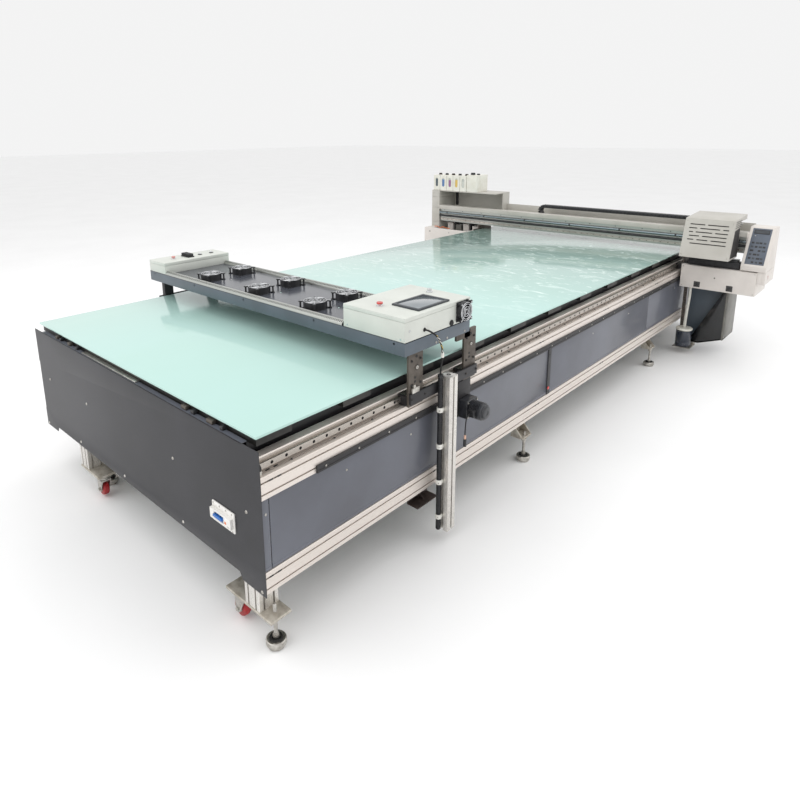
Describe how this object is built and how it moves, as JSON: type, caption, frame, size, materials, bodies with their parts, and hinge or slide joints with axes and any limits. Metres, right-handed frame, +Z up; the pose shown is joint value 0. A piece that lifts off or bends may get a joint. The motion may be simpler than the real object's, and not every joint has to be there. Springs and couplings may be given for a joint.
{
  "type": "flatbed_uv_printer",
  "caption": "Large flatbed UV inkjet printer: glass bed on an aluminium profile table, a drying gantry with fans and a print gantry with a travelling ink carriage.",
  "frame": {"origin": "Centre of the bounding box's footprint on the floor, under the middle of the bed; the floor is Z = 0.", "axes": "+Z up, +X across the bed to the operator side, +Y along the bed from the loading end to the print gantry."},
  "size_m": [3.33, 5.33, 1.447],
  "materials": {
    "aluminium": "satin",
    "post_aluminium": "satin",
    "zinc_steel": "satin",
    "rail_steel": "polished",
    "bed_glass": "polished",
    "dark_frame": "matte",
    "panel_grey": "satin",
    "black_plastic": "matte",
    "black_rubber": "matte",
    "breaker_white": "gloss",
    "breaker_blue": "gloss",
    "wheel_red": "satin",
    "deck_steel": "gloss",
    "box_white": "satin",
    "console_grey": "satin",
    "button_red": "gloss",
    "button_pink": "gloss",
    "button_steel": "polished",
    "motor_black": "satin",
    "hose_dark": "satin",
    "tank_white": "satin",
    "bottle_dark": "gloss",
    "tube_white": "satin"
  },
  "bodies": {
    "table": {"upper_beams": "aluminium", "lower_beams": "aluminium", "cross_members": "aluminium", "legs": "aluminium", "levelling_feet": "zinc_steel", "bed_glass": "bed_glass", "bed_supports": "dark_frame", "end_panels": "panel_grey", "side_panels": "panel_grey", "panel_posts": "black_plastic", "guide_rails": "rail_steel", "drive_strips": "dark_frame", "end_stops": "black_rubber", "panel_screws": "zinc_steel", "breaker_body": "breaker_white"},
    "dryer_gantry": {"dryer_frame": "panel_grey", "dryer_deck": "deck_steel", "fan_frames": "black_plastic", "control_box": "box_white", "touch_screen": "black_plastic", "left_box": "box_white", "dryer_legs": "zinc_steel", "dryer_blocks": "rail_steel", "dryer_post": "post_aluminium", "dryer_motor": "motor_black", "conduit": "black_plastic", "box_lead": "black_rubber", "sensor_lead": "black_rubber"},
    "print_gantry": {"print_beam": "aluminium", "beam_cover": "box_white", "beam_rail": "rail_steel", "beam_tubes": "hose_dark", "ink_tower": "box_white", "ink_tanks": "tank_white", "print_base": "box_white", "console": "console_grey", "print_blocks": "rail_steel", "waste_bottle": "bottle_dark", "waste_tube": "tube_white", "drag_chain": "black_plastic"},
    "carriage": {"carriage_plate": "aluminium", "carriage_cover": "box_white", "print_heads": "black_plastic"},
    "swivel_left": {"caster_fork_left": "zinc_steel"},
    "swivel_right": {"caster_fork_right": "zinc_steel"},
    "wheel_left": {"caster_wheel_left": "wheel_red"},
    "wheel_right": {"caster_wheel_right": "wheel_red"},
    "breaker_toggle": {"breaker_lever": "breaker_blue"},
    "stop_cap": {"stop_button": "button_red"},
    "start_cap": {"start_button": "button_steel"},
    "left_cap": {"left_button": "button_pink"},
    "drive_roller": {"drive_wheel": "zinc_steel"},
    "side_fan": {"side_fan_rotor": "black_plastic"},
    "rocker": {"console_switch": "button_red"},
    "deck_fan_1": {"fan_rotor_1": "black_plastic"},
    "deck_fan_2": {"fan_rotor_2": "black_plastic"},
    "deck_fan_3": {"fan_rotor_3": "black_plastic"},
    "deck_fan_4": {"fan_rotor_4": "black_plastic"},
    "deck_fan_5": {"fan_rotor_5": "black_plastic"},
    "deck_fan_6": {"fan_rotor_6": "black_plastic"}
  },
  "joints": [
    {"name": "dryer_travel", "type": "slide", "parent": "table", "child": "dryer_gantry", "axis": [0, 1, 0], "range_m": [-0.6, 0.8]},
    {"name": "print_travel", "type": "slide", "parent": "table", "child": "print_gantry", "axis": [0, 1, 0], "range_m": [-1.9, 0.35]},
    {"name": "carriage_travel", "type": "slide", "parent": "print_gantry", "child": "carriage", "axis": [1, 0, 0], "range_m": [-2.25, 0], "deforming": ["drag_chain"]},
    {"name": "swivel_left_turn", "type": "hinge", "parent": "table", "child": "swivel_left", "pos_m": [-0.445, -2.585, 0.1], "axis": [0, 0, 1], "continuous": true},
    {"name": "wheel_left_spin", "type": "hinge", "parent": "swivel_left", "child": "wheel_left", "pos_m": [-0.457, -2.585, 0.05], "axis": [0, 1, 0], "continuous": true},
    {"name": "swivel_right_turn", "type": "hinge", "parent": "table", "child": "swivel_right", "pos_m": [0.812, -2.585, 0.1], "axis": [0, 0, 1], "continuous": true},
    {"name": "wheel_right_spin", "type": "hinge", "parent": "swivel_right", "child": "wheel_right", "pos_m": [0.8, -2.585, 0.05], "axis": [0, 1, 0], "continuous": true},
    {"name": "breaker_throw", "type": "hinge", "parent": "table", "child": "breaker_toggle", "pos_m": [0.7865, -2.645, 0.4775], "axis": [1, 0, 0], "range_deg": [0, 30]},
    {"name": "stop_press", "type": "slide", "parent": "dryer_gantry", "child": "stop_cap", "axis": [0, 0, -1], "range_m": [0, 0.003], "stiffness_N_per_m": 400, "springref_m": -0.001},
    {"name": "start_press", "type": "slide", "parent": "dryer_gantry", "child": "start_cap", "axis": [0, 0, -1], "range_m": [0, 0.003], "stiffness_N_per_m": 400, "springref_m": -0.001},
    {"name": "left_press", "type": "slide", "parent": "dryer_gantry", "child": "left_cap", "axis": [0, 0, -1], "range_m": [0, 0.003], "stiffness_N_per_m": 400, "springref_m": -0.001},
    {"name": "deck_fan_1_spin", "type": "hinge", "parent": "dryer_gantry", "child": "deck_fan_1", "pos_m": [-0.519, -1.803, 1.061], "axis": [0, 0, 1], "continuous": true},
    {"name": "deck_fan_2_spin", "type": "hinge", "parent": "dryer_gantry", "child": "deck_fan_2", "pos_m": [-0.05, -1.803, 1.061], "axis": [0, 0, 1], "continuous": true},
    {"name": "deck_fan_3_spin", "type": "hinge", "parent": "dryer_gantry", "child": "deck_fan_3", "pos_m": [0.404, -1.803, 1.061], "axis": [0, 0, 1], "continuous": true},
    {"name": "deck_fan_4_spin", "type": "hinge", "parent": "dryer_gantry", "child": "deck_fan_4", "pos_m": [-0.519, -1.583, 1.061], "axis": [0, 0, 1], "continuous": true},
    {"name": "deck_fan_5_spin", "type": "hinge", "parent": "dryer_gantry", "child": "deck_fan_5", "pos_m": [-0.05, -1.583, 1.061], "axis": [0, 0, 1], "continuous": true},
    {"name": "deck_fan_6_spin", "type": "hinge", "parent": "dryer_gantry", "child": "deck_fan_6", "pos_m": [0.404, -1.583, 1.061], "axis": [0, 0, 1], "continuous": true},
    {"name": "side_fan_spin", "type": "hinge", "parent": "dryer_gantry", "child": "side_fan", "pos_m": [1.092, -1.518, 1.096], "axis": [1, 0, 0], "continuous": true},
    {"name": "drive_roller_turn", "type": "hinge", "parent": "dryer_gantry", "child": "drive_roller", "pos_m": [1.039, -1.45, 0.6018], "axis": [1, 0, 0], "continuous": true},
    {"name": "rocker_tilt", "type": "hinge", "parent": "print_gantry", "child": "rocker", "pos_m": [1.652, 1.785, 0.748], "axis": [0, 1, 0], "range_deg": [-12, 12]}
  ],
  "couplings": [
    {"joint": "drive_roller_turn", "follows": "dryer_travel", "rad_per_m": 25}
  ]
}
